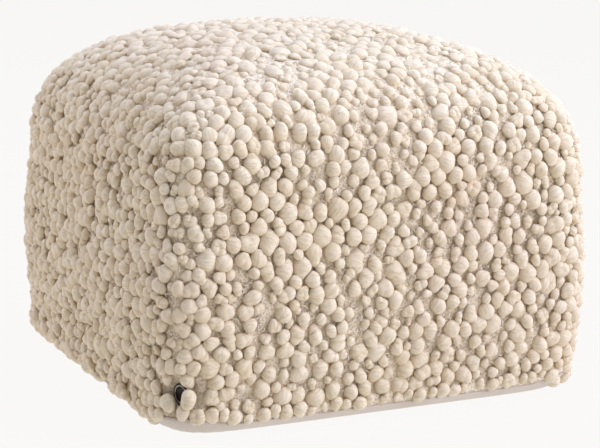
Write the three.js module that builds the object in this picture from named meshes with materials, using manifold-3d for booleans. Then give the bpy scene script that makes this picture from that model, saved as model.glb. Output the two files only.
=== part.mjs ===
// A woven wool pouf: a soft square seat with a domed top. Its cover stands in raised wool bobbles all
// over, a plain cotton cloth closes it underneath, and a small round badge sits by one corner seam.
// Millimetres. +Z is up and -Y is the front. The origin is the middle of the flat underside.

import * as THREE from "three";
import { mergeVertices } from "three/addons/utils/BufferGeometryUtils.js";
import Module from "manifold-3d";

// The form, measured over the tips of the bobbles
const WIDTH = 490; // across the sides, before they swell
const HEIGHT = 383; // floor to crown
const CROWN_RISE = 157; // the domed top, above the straight part of the sides
const CROWN_POWER = 2.69; // how square the dome's section is, as a superellipse power
const PLAN_POWER_MIDDLE = 2.33; // how square the plan is at the crown
const PLAN_POWER_EDGE = 10.3; // and at the sides
const SIDE_SWELL = 6; // how far the filling pushes the sides out at mid-height
const FOOT_RADIUS = 31; // rounding of the lower edge
const WAVER = 1.6; // slow unevenness of the filling

// The bobbles, as lumps of the cover
const CELLS = 18; // grid cells from the crown to the top's edge; every second corner is a bobble
const SIDE_ROWS = 23; // grid rows from the top's edge down to the base cloth
const BOBBLE_HEIGHT = 7; // tip to the hollow between bobbles
const BOBBLE_SPREAD = 2.6; // how much lower the small bobbles are than the large ones
const BOBBLE_SHIFT = 0.22; // how far a bobble strays from its place, in cells

// The base cloth, a shallow tray whose rim turns up round the lower edge
const CLOTH = 2.2; // thickness
const RIM_ANGLE = 50; // degrees of the foot's rounding that the cloth covers
const FOOT_STEPS = 3;
const CORNER_CELLS = 8; // cells by each corner that the cloth follows one by one
const MIDDLE_STEPS = 4; // steps along the straight middle of each side

// The badge, by the front left seam
const BADGE_RADIUS = 11;
const BADGE_THICK = 1.8;
const BADGE_RIM = 1.6;
const BADGE_HEIGHT = 46; // its middle, above the floor
const BADGE_DIRECTION = [-0.99, -1]; // of its middle, seen from above, on the square of the plan
const BADGE_DEPTH = 5.5; // of its middle, below the tips
const BADGE_TURN = 74; // degrees that it is turned from the front towards the left
const BADGE_SIDES = 28;

const GAP = 0.3; // between pieces that touch

const HALF = WIDTH / 2;
const SIDE_TOP = HEIGHT - CROWN_RISE;
const SECTION_STEPS = 160; // points along each of the section's three stretches
const RING = 8 * CELLS;
const radians = THREE.MathUtils.degToRad;

const wool = new THREE.MeshStandardMaterial({ color: "#ddd0b9", roughness: 1, metalness: 0 });
const cotton = new THREE.MeshStandardMaterial({ color: "#e4dccf", roughness: 0.95, metalness: 0 });
const enamel = new THREE.MeshStandardMaterial({ color: "#1c191a", roughness: 0.45, metalness: 0.2 });

// A repeatable number from 0 to 1 for each place on the grid
function scatter(a, b, c, kind) {
  const wave = Math.sin(a * 12.9898 + b * 78.233 + c * 37.719 + kind * 9.131) * 43758.5453;
  return wave - Math.floor(wave);
}

// The point that lies in direction (dx, dy) on a superellipse that reaches the given distance
function planPoint(dx, dy, reach, power) {
  const length = (Math.abs(dx) ** power + Math.abs(dy) ** power) ** (1 / power) || 1;
  return [(dx / length) * reach, (dy / length) * reach];
}

// The foot's rounding, inset from the tips by a depth: angle 0 is the floor, 90 degrees the side
function footPoint(angle, depth) {
  const radius = FOOT_RADIUS - depth;
  return {
    reach: HALF - FOOT_RADIUS + radius * Math.sin(angle),
    z: FOOT_RADIUS - radius * Math.cos(angle),
    power: PLAN_POWER_EDGE,
  };
}

// The section from the crown down to the base cloth's rim, as closely spaced points
function sectionPoints() {
  const steps = SECTION_STEPS;
  const points = [];
  for (let n = 0; n <= steps; n++) {
    const angle = (Math.PI / 2) * (1 - n / steps);
    const share = Math.max(Math.cos(angle), 0) ** (2 / CROWN_POWER);
    points.push({
      reach: HALF * share,
      z: SIDE_TOP + CROWN_RISE * Math.sin(angle) ** (2 / CROWN_POWER),
      power: PLAN_POWER_MIDDLE + (PLAN_POWER_EDGE - PLAN_POWER_MIDDLE) * share ** 3,
    });
  }
  for (let n = 1; n <= steps; n++) {
    const rise = 1 - n / steps;
    points.push({
      reach: HALF + SIDE_SWELL * Math.sin(Math.PI * rise),
      z: FOOT_RADIUS + (SIDE_TOP - FOOT_RADIUS) * rise,
      power: PLAN_POWER_EDGE,
    });
  }
  for (let n = 1; n <= steps; n++) {
    const share = n / steps;
    points.push(footPoint(radians(90) * (1 - share) + radians(RIM_ANGLE + 5) * share, 0));
  }
  return points;
}

// Adds to each point of the section its distance from the crown along the surface
function measured(points) {
  let run = 0;
  return points.map((point, n) => {
    if (n) run += Math.hypot(point.reach - points[n - 1].reach, point.z - points[n - 1].z);
    return { ...point, run };
  });
}

const section = measured(sectionPoints());
const ROW = section[section.length - 1].run / (CELLS + SIDE_ROWS);
const DOME_ROWS = section[SECTION_STEPS].run / ROW;

// The section at a row of the grid, which need not be a whole number
function sectionAt(row) {
  const run = THREE.MathUtils.clamp(row * ROW, 0, section[section.length - 1].run);
  const above = Math.max(1, section.findIndex((point) => point.run >= run));
  const [a, b] = [section[above - 1], section[above]];
  const share = (run - a.run) / (b.run - a.run || 1);
  const mix = (key) => a[key] + (b[key] - a[key]) * share;
  return { reach: mix("reach"), z: mix("z"), power: mix("power") };
}

// The height of the dome over a point of the plan: the ring that passes through it, by halving
function domeHeight(x, y) {
  let [inner, outer] = [0, DOME_ROWS];
  for (let n = 0; n < 24; n++) {
    const middle = (inner + outer) / 2;
    const { reach, power } = sectionAt(middle);
    const ring = (Math.abs(x) ** power + Math.abs(y) ** power) ** (1 / power);
    if (ring > reach) inner = middle;
    else outer = middle;
  }
  return sectionAt(inner).z;
}

// A point over the bobbles' tips, from its direction on the square of the plan and its row. Rows on
// the top keep to nearly square rings, so that the grid runs straight across the dome.
function surfacePoint(dx, dy, row) {
  const { reach, z, power } = sectionAt(row);
  const side = Math.max(Math.abs(dx), Math.abs(dy)) || 1;
  const onTop = row <= CELLS;
  const [x, y] = planPoint(dx / side, dy / side, reach, onTop ? PLAN_POWER_EDGE : power);
  return new THREE.Vector3(x, y, onTop ? domeHeight(x, y) : z);
}

// The grid place of a step round the top's edge, anticlockwise from the front left corner
function edgePlace(step) {
  const side = Math.floor(step / (2 * CELLS));
  const along = (step % (2 * CELLS)) - CELLS;
  return [
    [along, -CELLS],
    [CELLS, along],
    [-along, CELLS],
    [-CELLS, -along],
  ][side];
}

// Whether a grid place is a bobble: every second one, but none on the four corner seams
function isBobble(i, j, level) {
  const onSeam = Math.abs(i) === CELLS && Math.abs(j) === CELLS;
  return !onSeam && (i + j + level) % 2 === 0;
}

// A vertex of the grid over the tips. A bobble strays a little from its place.
function gridPoint(i, j, level) {
  const stray = (kind) => (scatter(i, j, level, kind) - 0.5) * 2 * BOBBLE_SHIFT;
  const held = isBobble(i, j, level) ? 1 : 0;
  const [u, v] = [i + held * stray(1), j + held * stray(2)];
  const row = level ? CELLS + level + held * stray(3) : Math.max(Math.abs(u), Math.abs(v));
  return surfacePoint(u, v, row);
}

// How far a vertex lies below the tips, with the slow unevenness of the filling
function depthAt(i, j, level, point) {
  const lift = THREE.MathUtils.smoothstep(point.z, 2 * FOOT_RADIUS, 4 * FOOT_RADIUS);
  const wave = Math.sin(point.x / 47 + 1.3) + Math.sin(point.y / 53 + 0.4) + Math.sin(point.z / 41);
  const slow = lift * WAVER * (1 - wave / 3) * 0.5;
  if (isBobble(i, j, level)) return slow + BOBBLE_SPREAD * scatter(i, j, level, 4) ** 2;
  return slow + BOBBLE_HEIGHT;
}

// Every vertex of the lumpy surface as { i, j, level }: the top's grid, then each side row in turn
function gridPlaces() {
  const places = [];
  for (let i = -CELLS; i <= CELLS; i++)
    for (let j = -CELLS; j <= CELLS; j++) places.push({ i, j, level: 0 });
  for (let level = 1; level <= SIDE_ROWS; level++)
    for (let step = 0; step < RING; step++) {
      const [i, j] = edgePlace(step);
      places.push({ i, j, level });
    }
  return places;
}

const TOP_COUNT = (2 * CELLS + 1) ** 2;
const topIndex = (i, j) => (i + CELLS) * (2 * CELLS + 1) + (j + CELLS);

// The number of a vertex on the ring at a side row, where row 0 is the edge of the top's grid
function ringIndex(level, step) {
  const turn = step % RING;
  if (!level) return topIndex(...edgePlace(turn));
  return TOP_COUNT + (level - 1) * RING + turn;
}

// Two triangles of a square, folded along the hollows so that each bobble is a point of its own
function fold(faces, [a, b, c, d], aIsBobble) {
  if (aIsBobble) faces.push(a, b, d, b, c, d);
  else faces.push(a, b, c, a, c, d);
}

// The faces of the top, of the sides, of the foot inside the base cloth, and of the flat underside
function coverFaces(rings, centre) {
  const faces = [];
  for (let i = -CELLS; i < CELLS; i++)
    for (let j = -CELLS; j < CELLS; j++) {
      const square = [topIndex(i, j), topIndex(i + 1, j), topIndex(i + 1, j + 1), topIndex(i, j + 1)];
      fold(faces, square, (i + j) % 2 === 0);
    }
  for (let level = 0; level < rings; level++)
    for (let step = 0; step < RING; step++) {
      const [i, j] = edgePlace(step);
      const upper = [ringIndex(level, step), ringIndex(level, step + 1)];
      const lower = [ringIndex(level + 1, step), ringIndex(level + 1, step + 1)];
      fold(faces, [upper[0], lower[0], lower[1], upper[1]], (i + j + level) % 2 === 0);
    }
  for (let step = 0; step < RING; step++)
    faces.push(ringIndex(rings, step + 1), ringIndex(rings, step), centre);
  return faces;
}

// The rings inside the base cloth, from its rim down to the flat underside
function footRings(depth) {
  const rings = [];
  for (let n = 0; n <= FOOT_STEPS; n++)
    rings.push(footPoint(radians(RIM_ANGLE) * (1 - n / FOOT_STEPS), depth));
  return rings;
}

function closedGeometry(points, faces) {
  const geometry = new THREE.BufferGeometry();
  geometry.setFromPoints(points);
  geometry.setIndex(faces);
  return geometry;
}

// The filled cover: bobbles over the top and sides, and a plain foot that stands in the base cloth
function coverGeometry() {
  const places = gridPlaces();
  const tips = places.map(({ i, j, level }) => gridPoint(i, j, level));
  const foot = [];
  for (const { reach, z, power } of footRings(CLOTH + GAP))
    for (let step = 0; step < RING; step++) {
      const [i, j] = edgePlace(step);
      foot.push(new THREE.Vector3(...planPoint(i / CELLS, j / CELLS, reach, power), z));
    }
  const middle = new THREE.Vector3(0, 0, CLOTH + GAP);
  const points = [...tips, ...foot, middle];
  const faces = coverFaces(SIDE_ROWS + FOOT_STEPS + 1, points.length - 1);

  const smooth = closedGeometry(points, faces);
  smooth.computeVertexNormals();
  const outward = new THREE.Vector3();
  places.forEach(({ i, j, level }, n) => {
    outward.fromBufferAttribute(smooth.attributes.normal, n);
    points[n] = tips[n].clone().addScaledVector(outward, -depthAt(i, j, level, tips[n]));
  });
  return closedGeometry(points, faces);
}

// The directions of the base cloth's outline: close together round the corners, far apart between
function clothDirections() {
  const stops = [];
  for (let n = 0; n < CORNER_CELLS; n++) stops.push(-CELLS + n);
  const half = CELLS - CORNER_CELLS;
  for (let n = 0; n <= MIDDLE_STEPS; n++) stops.push(-half + (2 * half * n) / MIDDLE_STEPS);
  for (let n = 1; n < CORNER_CELLS; n++) stops.push(half + n);
  const turn = ([u, v], quarter) => [[u, v], [-v, u], [-u, -v], [v, -u]][quarter];
  return [0, 1, 2, 3].flatMap((quarter) => stops.map((u) => turn([u / CELLS, -1], quarter)));
}

// The base cloth: its underside, its turned-up rim and its inner face, ring by ring
function clothGeometry() {
  const outer = footRings(0).reverse();
  const inner = footRings(CLOTH);
  const directions = clothDirections();
  const count = directions.length;
  const points = [];
  for (const { reach, z, power } of [...outer, ...inner])
    for (const [dx, dy] of directions)
      points.push(new THREE.Vector3(...planPoint(dx, dy, reach, power), z));
  const under = points.push(new THREE.Vector3(0, 0, 0)) - 1;
  const over = points.push(new THREE.Vector3(0, 0, CLOTH)) - 1;

  const faces = [];
  const last = outer.length + inner.length - 1;
  for (let n = 0; n < count; n++) {
    const next = (n + 1) % count;
    faces.push(next, n, under, last * count + n, last * count + next, over);
    for (let ring = 0; ring < last; ring++) {
      const [a, b] = [ring * count + n, ring * count + next];
      faces.push(a, b, b + count, a, b + count, a + count);
    }
  }
  return closedGeometry(points, faces);
}

// The badge, turned on a lathe: a disc with a low rim, its axis along +Z
function badgeGeometry() {
  const [low, high] = [-BADGE_THICK / 2, BADGE_THICK / 2];
  const step = 0.4;
  const profile = [
    [0, low],
    [BADGE_RADIUS - step, low],
    [BADGE_RADIUS, low + step],
    [BADGE_RADIUS, high - step],
    [BADGE_RADIUS - step, high],
    [BADGE_RADIUS - BADGE_RIM, high],
    [BADGE_RADIUS - BADGE_RIM - step, high - step],
    [0, high - step],
  ].map(([x, y]) => new THREE.Vector2(x, y));
  return new THREE.LatheGeometry(profile, BADGE_SIDES).rotateX(Math.PI / 2);
}

// The place and facing of the badge, as a matrix
function badgePlace() {
  const outward = new THREE.Vector3(-Math.sin(radians(BADGE_TURN)), -Math.cos(radians(BADGE_TURN)), 0);
  const [x, y] = planPoint(...BADGE_DIRECTION, HALF - BADGE_DEPTH, PLAN_POWER_EDGE);
  const turn = new THREE.Quaternion().setFromUnitVectors(new THREE.Vector3(0, 0, 1), outward);
  return new THREE.Matrix4().compose(
    new THREE.Vector3(x, y, BADGE_HEIGHT),
    turn,
    new THREE.Vector3(1, 1, 1),
  );
}

const wasm = await Module();
wasm.setup();

// A closed geometry as a solid that can be cut
function solidOf(geometry) {
  const bare = geometry.clone();
  bare.deleteAttribute("normal");
  bare.deleteAttribute("uv");
  const merged = mergeVertices(bare, 1e-4);
  return new wasm.Manifold(
    new wasm.Mesh({
      numProp: 3,
      vertProperties: new Float32Array(merged.attributes.position.array),
      triVerts: new Uint32Array(merged.index.array),
    }),
  );
}

function geometryOf(solid) {
  const { vertProperties, triVerts } = solid.getMesh();
  const geometry = new THREE.BufferGeometry();
  geometry.setAttribute("position", new THREE.BufferAttribute(vertProperties, 3));
  geometry.setIndex(new THREE.BufferAttribute(triVerts, 1));
  return geometry;
}

// The room that the badge needs in the bobbles: its own seat behind it, and open in front of it
function seatGeometry() {
  const depth = 4 * BADGE_RADIUS;
  const floor = -BADGE_THICK / 2 - GAP;
  const seat = new THREE.CylinderGeometry(
    BADGE_RADIUS + GAP,
    BADGE_RADIUS + GAP,
    depth,
    BADGE_SIDES,
  );
  return seat.rotateX(Math.PI / 2).translate(0, 0, floor + depth / 2);
}

function namedMesh(name, geometry, material) {
  const mesh = new THREE.Mesh(geometry, material);
  mesh.name = name;
  return mesh;
}

const badgeMatrix = badgePlace();
const seat = solidOf(seatGeometry().applyMatrix4(badgeMatrix));
const cover = geometryOf(solidOf(coverGeometry()).subtract(seat));

const badge = namedMesh("badge", badgeGeometry(), enamel);
badge.applyMatrix4(badgeMatrix);

const pouf = new THREE.Group();
pouf.add(namedMesh("wool_cover", cover, wool));
pouf.add(namedMesh("base_cloth", clothGeometry(), cotton));
pouf.add(badge);

export default pouf;
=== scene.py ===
"""The looks of a square wool pouf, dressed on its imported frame. Metres, +Z up, -Y is the front."""

import logging
import math
from dataclasses import astuple, dataclass, field, fields
from enum import Enum
from functools import cached_property
from typing import Mapping, Sequence, Union

import bpy
import numpy as np
from mathutils import Matrix, Vector
from mathutils.bvhtree import BVHTree
from mathutils.kdtree import KDTree


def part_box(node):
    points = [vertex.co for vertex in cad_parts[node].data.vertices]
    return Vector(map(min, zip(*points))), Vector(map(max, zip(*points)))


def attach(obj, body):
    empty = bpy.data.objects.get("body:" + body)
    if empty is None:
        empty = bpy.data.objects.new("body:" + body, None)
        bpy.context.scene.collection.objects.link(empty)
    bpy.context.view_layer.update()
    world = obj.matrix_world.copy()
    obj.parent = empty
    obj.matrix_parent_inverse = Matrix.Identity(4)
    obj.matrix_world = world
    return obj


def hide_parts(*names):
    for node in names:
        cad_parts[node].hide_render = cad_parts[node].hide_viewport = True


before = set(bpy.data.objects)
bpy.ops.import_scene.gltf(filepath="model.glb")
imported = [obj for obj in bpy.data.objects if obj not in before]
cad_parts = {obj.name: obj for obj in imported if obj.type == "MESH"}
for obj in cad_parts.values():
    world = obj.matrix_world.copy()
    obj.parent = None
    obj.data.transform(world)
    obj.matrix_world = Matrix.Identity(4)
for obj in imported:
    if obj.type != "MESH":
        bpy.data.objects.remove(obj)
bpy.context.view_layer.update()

log = logging.getLogger("pouf")

Array = np.ndarray
Colour = tuple[float, float, float, float]
Value = Union["Shade", float, Sequence[float]]

MM = 0.001
TINY = 1e-9
BODY = "root"


def linear(red: int, green: int, blue: int) -> Colour:
    """Turns a colour as seen on screen, 0 to 255, into the renderer's own linear colour.

    Args:
        red: Red, 0 to 255.
        green: Green, 0 to 255.
        blue: Blue, 0 to 255.

    Returns:
        The linear colour with a full alpha.
    """
    # The screen's own curve: a short straight foot, then a power
    shares = [c / 255 for c in (red, green, blue)]
    parts = [s / 12.92 if s <= 0.04045 else ((s + 0.055) / 1.055) ** 2.4 for s in shares]
    return (parts[0], parts[1], parts[2], 1.0)


def eased(values: Array, low: float, high: float) -> Array:
    """Rises smoothly from 0 at low to 1 at high.

    Args:
        values: The values to ease.
        low: Where the rise begins. It may be above high, for a fall.
        high: Where the rise ends.

    Returns:
        The eased values, 0 to 1.
    """
    share = np.clip((values - low) / (high - low), 0.0, 1.0)
    return share * share * (3 - 2 * share)


def unit(vectors: Array) -> Array:
    """Scales vectors to length 1.

    Args:
        vectors: Vectors along the last axis.

    Returns:
        The same directions at length 1.
    """
    return vectors / np.maximum(np.linalg.norm(vectors, axis=-1, keepdims=True), TINY)


def plan_length(x: Array, y: Array, power: Array | float) -> Array:
    """Measures directions on the plan so that its rounded square is the same length all round.

    Args:
        x: Across.
        y: To the back.
        power: How square the plan is. It is 2 for a circle.

    Returns:
        The lengths.
    """
    return (np.abs(x) ** power + np.abs(y) ** power) ** (1 / power)


def to_corner(x: Array, y: Array) -> Array:
    """Tells how near directions on the plan come to a corner.

    Args:
        x: Across.
        y: To the back.

    Returns:
        Shares, 0 at the middle of a side and 1 at a corner.
    """
    across, back = np.abs(x), np.abs(y)
    return np.minimum(across, back) / np.maximum(np.maximum(across, back), TINY)


def search_tree(points: Array) -> KDTree:
    """Sorts points for a search by distance.

    Args:
        points: The points, one row each.

    Returns:
        The search tree.
    """
    tree = KDTree(len(points))
    for number, point in enumerate(points):
        tree.insert(point, number)
    tree.balance()
    return tree


def ring_quads(rings: int, count: int, first: int = 0) -> Array:
    """Joins rings of points, each to the next, in squares.

    Args:
        rings: How many rings there are.
        count: How many points each has.
        first: The number of the first point.

    Returns:
        The squares, one row each.
    """
    step = np.arange(count)
    after = np.roll(step, -1)
    start = first + np.arange(rings - 1)[:, None] * count
    corners = [start + step, start + after, start + count + after, start + count + step]
    return np.stack(corners, -1).reshape(-1, 4)


def closed_rings(rings: int, count: int) -> list[Array]:
    """Joins rings of points, and closes both ends on the two middles that follow the rings.

    Args:
        rings: How many rings there are.
        count: How many points each has.

    Returns:
        The squares, and the triangles of both ends.
    """
    step = np.arange(count)
    after = np.roll(step, -1)
    middle = rings * count
    last = middle - count
    start = np.stack([after, step, np.full(count, middle)], -1)
    end = np.stack([last + step, last + after, np.full(count, middle + 1)], -1)
    return [ring_quads(rings, count), np.concatenate([start, end])]


class Shade:
    """A socket of a shader graph. Arithmetic on it adds Math nodes."""

    def __init__(self, graph: "Graph", socket: bpy.types.NodeSocket) -> None:
        """Keeps the graph and the socket."""
        self.graph = graph
        self.socket = socket

    def _math(self, operation: str, *values: Value) -> "Shade":
        """Adds one Math node on the values."""
        return self.graph.add("ShaderNodeMath", {"operation": operation}, dict(enumerate(values)))

    def __add__(self, other: Value) -> "Shade":
        """Adds."""
        return self._math("ADD", self, other)

    def __radd__(self, other: Value) -> "Shade":
        """Adds to a number."""
        return self._math("ADD", other, self)

    def __sub__(self, other: Value) -> "Shade":
        """Subtracts."""
        return self._math("SUBTRACT", self, other)

    def __rsub__(self, other: Value) -> "Shade":
        """Subtracts from a number."""
        return self._math("SUBTRACT", other, self)

    def __mul__(self, other: Value) -> "Shade":
        """Multiplies."""
        return self._math("MULTIPLY", self, other)

    def __rmul__(self, other: Value) -> "Shade":
        """Multiplies a number."""
        return self._math("MULTIPLY", other, self)

    def sine(self) -> "Shade":
        """The sine of the value."""
        return self._math("SINE", self)

    def between(self, low: float, high: float) -> "Shade":
        """The value's share of the way from low to high, smoothed and held to 0 to 1."""
        settings = {"interpolation_type": "SMOOTHSTEP"}
        return self.graph.add("ShaderNodeMapRange", settings, {0: self, 1: low, 2: high})


class Graph:
    """The node graph of one material, written as expressions."""

    def __init__(self, name: str) -> None:
        """Makes an empty material.

        Args:
            name: The material's name.
        """
        self.material = bpy.data.materials.new(name)
        self.material.use_nodes = True
        self.tree = self.material.node_tree
        self.tree.nodes.clear()

    def add(
        self,
        kind: str,
        settings: Mapping[str, object] | None = None,
        sockets: Mapping[str | int, Value] | None = None,
        output: str | int = 0,
    ) -> Shade:
        """Adds a node of any type.

        Args:
            kind: The node's type.
            settings: Its settings, set before its sockets. "stops" are a ramp's places and colours.
            sockets: A value or a link for each named or numbered input.
            output: The output wanted.

        Returns:
            The output as a Shade.
        """
        node = self.tree.nodes.new(kind)
        for key, value in (settings or {}).items():
            if key == "stops":
                self._set_stops(node.color_ramp, value)
            else:
                setattr(node, key, value)
        for key, value in (sockets or {}).items():
            if isinstance(value, Shade):
                self.tree.links.new(value.socket, node.inputs[key])
            else:
                node.inputs[key].default_value = value
        return Shade(self, node.outputs[output])

    @staticmethod
    def _set_stops(ramp: bpy.types.ColorRamp, stops: Sequence[tuple[float, Sequence[float]]]) -> None:
        """Gives a ramp its stops.

        Args:
            ramp: The colour ramp.
            stops: Each stop's place and colour.
        """
        while len(ramp.elements) < len(stops):
            ramp.elements.new(1.0)
        for element, (place, colour) in zip(ramp.elements, stops):
            element.position = place
            element.color = colour

    def attribute(self, name: str, output: str = "Fac") -> Shade:
        """A value that the mesh carries."""
        return self.add("ShaderNodeAttribute", {"attribute_name": name}, output=output)

    def place(self) -> Shade:
        """The place on the piece."""
        return self.add("ShaderNodeTexCoord", output="Object")

    def mix(self, factor: Value, first: Value, second: Value) -> Shade:
        """Mixes two colours.

        Args:
            factor: How much of the second colour.
            first: The first colour.
            second: The second colour.

        Returns:
            The mixed colour.
        """
        sockets = {0: factor, 6: first, 7: second}
        return self.add("ShaderNodeMix", {"data_type": "RGBA"}, sockets, 2)

    def scaled(self, vector: Value, factors: Sequence[float]) -> Shade:
        """Multiplies a vector by three factors."""
        return self.add("ShaderNodeVectorMath", {"operation": "MULTIPLY"}, {0: vector, 1: factors})

    def noise(self, vector: Value, scale: float, detail: float, roughness: float = 0.5) -> Shade:
        """Smooth noise over a vector.

        Args:
            vector: Where the noise is read.
            scale: How fine it is.
            detail: How many finer layers are added.
            roughness: How strong those are.

        Returns:
            The noise, about 0.2 to 0.8.
        """
        sockets = {"Vector": vector, "Scale": scale, "Detail": detail, "Roughness": roughness}
        return self.add("ShaderNodeTexNoise", {}, sockets)

    def relief(self, height: Shade, distance: float, strength: float) -> Shade:
        """Bends the surface's normal by a height.

        Args:
            height: The height, 0 to 1.
            distance: What a height of 1 stands for.
            strength: How strong the relief is.

        Returns:
            The bent normal.
        """
        sockets = {"Height": height, "Distance": distance, "Strength": strength}
        return self.add("ShaderNodeBump", {}, sockets)

    def surface(self, sockets: Mapping[str | int, Value]) -> bpy.types.Material:
        """Ends the graph in one principled surface.

        Args:
            sockets: The surface's inputs.

        Returns:
            The finished material.
        """
        made = self.add("ShaderNodeBsdfPrincipled", {}, sockets)
        end = self.tree.nodes.new("ShaderNodeOutputMaterial")
        self.tree.links.new(made.socket, end.inputs["Surface"])
        return self.material


@dataclass(frozen=True)
class RovingWool:
    """Undyed combed wool: soft thick strands whose fibres run across each bobble.

    A tint is how far the colour turns, at most, towards the rosy tone or towards the brown of the
    streaks. The fold, parting and root tints are painted shade: they darken the wool in the folds between
    lobes, in the partings between plies, low on each bobble and where bobbles touch.
    """

    pale: Colour = linear(240, 228, 208)
    deep: Colour = linear(229, 212, 185)
    rosy: Colour = linear(235, 216, 198)
    # Brown of the wool's own fibre streaks, and also the colour of the painted shade in folds, partings
    # and low on each bobble
    crease: Colour = linear(206, 178, 124)
    sheen: Colour = linear(250, 248, 244)
    ply: float = 3.4 * MM
    strand: float = 1.3 * MM
    hair: float = 0.5 * MM
    fibre_squeeze: float = 0.12
    ply_edge: float = 0.0016
    patch_scale: float = 14.0
    blush_scale: float = 5.0
    tone_share: float = 0.3
    patch_share: float = 0.6
    shade_zone: tuple[float, float] = (0.2, 0.95)
    blush_zone: tuple[float, float] = (0.45, 0.75)
    strand_share: float = 0.45
    hair_share: float = 0.55
    streak_zone: tuple[float, float] = (0.6, 0.34)
    fold_zone: tuple[float, float] = (0.05, 0.9)
    root_zone: tuple[float, float] = (0.0, 1.2)
    blush_tint: float = 0.45
    streak_tint: float = 0.32
    # Painted shade: the fold, parting and root tints darken the wool in the folds between lobes, in the
    # partings between plies, low on each bobble and where bobbles touch
    fold_tint: float = 0.5
    parting_tint: float = 0.26
    root_tint: float = 0.44
    strand_height: float = 0.6
    hair_height: float = 0.4
    parting_depth: float = 0.5
    strand_relief: float = 0.5 * MM
    roughness: float = 0.88

    def material(self, name: str) -> bpy.types.Material:
        """Makes the wool.

        Args:
            name: The material's name.

        Returns:
            The material.
        """
        graph = Graph(name)
        fibre = graph.scaled(graph.attribute("fibre", "Vector"), (1, self.fibre_squeeze, 1))
        place = graph.place()
        strands = graph.noise(fibre, 1 / self.strand, detail=2.0)
        hairs = graph.noise(fibre, 1 / self.hair, detail=1.0)
        plies = graph.noise(fibre, 1 / self.ply, detail=1.0) - 0.5
        parting = (plies * plies).between(self.ply_edge, 0.0)
        patches = graph.noise(place, self.patch_scale, detail=2.0)
        shade = graph.attribute("tone") * self.tone_share + patches * self.patch_share
        shade = shade.between(*self.shade_zone)
        blush = graph.noise(place, self.blush_scale, detail=1.0).between(*self.blush_zone)
        streak = (strands * self.strand_share + hairs * self.hair_share).between(*self.streak_zone)
        # Painted shade: the folds between a bobble's lobes are darkened towards the brown
        fold_shade_mask = graph.attribute("fold").between(*self.fold_zone)
        # Painted shade: darker low on each bobble and where it touches its neighbours
        root = graph.attribute("root").between(*self.root_zone)
        body = graph.mix(shade, self.pale, self.deep)
        body = graph.mix(blush * self.blush_tint, body, self.rosy)
        body = graph.mix(streak * self.streak_tint + fold_shade_mask * self.fold_tint, body, self.crease)
        # Painted shade in the partings between plies, where the relief dips
        body = graph.mix(parting * self.parting_tint, body, self.crease)
        body = graph.mix(root * self.root_tint, body, self.crease)
        height = strands * self.strand_height + hairs * self.hair_height - parting * self.parting_depth
        normal = graph.relief(height, self.strand_relief, strength=1.0)
        return graph.surface(
            {
                "Base Color": body,
                "Roughness": self.roughness,
                "Specular IOR Level": 0.2,
                "Sheen Weight": 0.3,
                "Sheen Roughness": 0.5,
                "Sheen Tint": self.sheen,
                "Normal": normal,
            }
        )


@dataclass(frozen=True)
class CurledWool:
    """The fuzzy ground yarn between the bobbles: tight greyish curls with pale flecks."""

    pale: Colour = linear(246, 235, 216)
    middle: Colour = linear(226, 211, 188)
    dark: Colour = linear(196, 173, 139)
    curl: float = 2.4 * MM
    fuzz: float = 0.9 * MM
    curl_share: float = 0.7
    fuzz_share: float = 0.3
    relief: float = 1.3 * MM
    dark_to: float = 0.36
    middle_at: float = 0.5
    pale_from: float = 0.6

    def material(self, name: str) -> bpy.types.Material:
        """Makes the ground yarn.

        Args:
            name: The material's name.

        Returns:
            The material.
        """
        graph = Graph(name)
        place = graph.place()
        curls = graph.noise(place, 1 / self.curl, detail=2.0, roughness=0.6)
        fuzz = graph.noise(place, 1 / self.fuzz, detail=1.0)
        height = curls * self.curl_share + fuzz * self.fuzz_share
        stops = [(self.dark_to, self.dark), (self.middle_at, self.middle), (self.pale_from, self.pale)]
        body = graph.add("ShaderNodeValToRGB", {"stops": stops}, {0: height})
        return graph.surface(
            {
                "Base Color": body,
                "Roughness": 0.95,
                "Specular IOR Level": 0.15,
                "Sheen Weight": 0.2,
                "Normal": graph.relief(height, self.relief, strength=0.8),
            }
        )


@dataclass(frozen=True)
class CurlYarn:
    """The loose curls that stand up from the ground: the same yarn, seen one loop at a time."""

    pale: Colour = linear(252, 245, 232)
    deep: Colour = linear(212, 195, 169)
    fuzz_scale: float = 1400.0
    tone_share: float = 0.7
    fuzz_share: float = 0.4
    shade_zone: tuple[float, float] = (0.1, 0.9)
    fuzz_relief: float = 0.2 * MM

    def material(self, name: str) -> bpy.types.Material:
        """Makes the curls' yarn.

        Args:
            name: The material's name.

        Returns:
            The material.
        """
        graph = Graph(name)
        place = graph.place()
        fuzz = graph.noise(place, self.fuzz_scale, detail=1.0)
        shade = graph.attribute("tone") * self.tone_share + fuzz * self.fuzz_share
        body = graph.mix(shade.between(*self.shade_zone), self.deep, self.pale)
        return graph.surface(
            {
                "Base Color": body,
                "Roughness": 0.95,
                "Specular IOR Level": 0.15,
                "Sheen Weight": 0.2,
                "Normal": graph.relief(fuzz, self.fuzz_relief, strength=0.6),
            }
        )


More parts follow.
